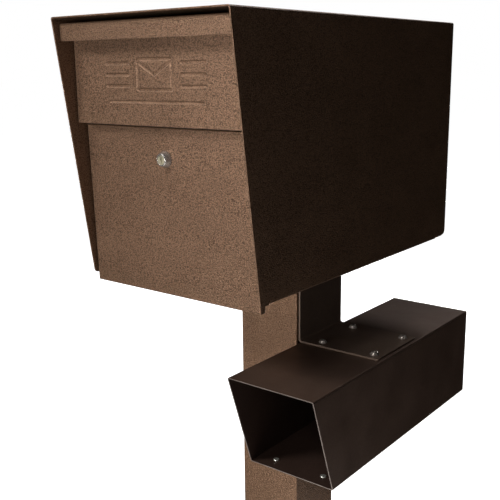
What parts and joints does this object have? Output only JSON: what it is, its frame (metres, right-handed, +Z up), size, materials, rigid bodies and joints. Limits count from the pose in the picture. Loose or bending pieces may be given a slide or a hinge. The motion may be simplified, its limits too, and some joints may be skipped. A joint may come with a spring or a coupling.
{
  "type": "locking kerbside mailbox",
  "caption": "Locking kerbside mailbox with a pull-down mail door over a keyed access door, on a square steel post, with a newspaper holder hung beside it.",
  "frame": {"origin": "middle of the post's base plate, on the ground", "axes": "+Z up along the post, the doors face -Y, the newspaper holder is on the +X side"},
  "size_m": [0.3307, 0.541, 1.0207],
  "materials": {
    "hammered_bronze_paint": "hammered bronze powder coat, satin, fine raised texture",
    "dark_bronze_paint": "darker bronze powder coat, fine texture, low sheen",
    "zinc_steel": "bright zinc plate, lightly dulled",
    "bronze_screws": "dark plated steel with bright worn crowns",
    "lock_chrome": "polished chrome",
    "lock_plug_steel": "polished nickel over brass",
    "bumper_rubber": "matt black rubber"
  },
  "bodies": {
    "root": {"post_base_plate": "hammered_bronze_paint", "post_tube": "hammered_bronze_paint", "post_top_plate": "hammered_bronze_paint", "outer_shell": "hammered_bronze_paint", "rear_panel": "hammered_bronze_paint", "floor_pan": "hammered_bronze_paint", "left_jamb": "hammered_bronze_paint", "right_jamb": "hammered_bronze_paint", "divider_rail": "hammered_bronze_paint", "strike_plate": "zinc_steel", "strike_rivets": "zinc_steel", "mail_shelf": "hammered_bronze_paint", "mail_baffle": "hammered_bronze_paint", "door_bumpers": "bumper_rubber", "mounting_bolts": "zinc_steel", "mounting_washers": "zinc_steel", "mail_hinge_fixed_leaf": "zinc_steel", "mail_hinge_pin": "zinc_steel", "access_hinge_fixed_leaf": "zinc_steel", "access_hinge_pin": "zinc_steel", "holder_bracket": "dark_bronze_paint", "bracket_screws": "bronze_screws", "bracket_nuts": "zinc_steel", "newspaper_wrap": "dark_bronze_paint", "newspaper_rear_cap": "dark_bronze_paint", "holder_rivets": "zinc_steel"},
    "mail_door": {"mail_door": "hammered_bronze_paint", "mail_hinge_door_leaf": "zinc_steel"},
    "access_door": {"access_door": "hammered_bronze_paint", "access_hinge_door_leaf": "zinc_steel", "lock_housing": "lock_chrome", "lock_nut": "zinc_steel"},
    "lock": {"lock_plug": "lock_plug_steel", "lock_cam": "zinc_steel", "lock_cam_screw": "zinc_steel"}
  },
  "joints": [
    {"name": "mail_door_hinge", "type": "hinge", "parent": "root", "child": "mail_door", "pos_m": [0, -0.2675, 0.8942], "axis": [1, 0, 0], "range_deg": [0, 92]},
    {"name": "access_door_hinge", "type": "hinge", "parent": "root", "child": "access_door", "pos_m": [0, -0.24798, 0.6798], "axis": [1, 0, 0], "range_deg": [0, 110]},
    {"name": "lock_turn", "type": "hinge", "parent": "access_door", "child": "lock", "pos_m": [0, -0.25673, 0.85], "axis": [0, -0.9996, -0.0279], "range_deg": [0, 90]}
  ]
}
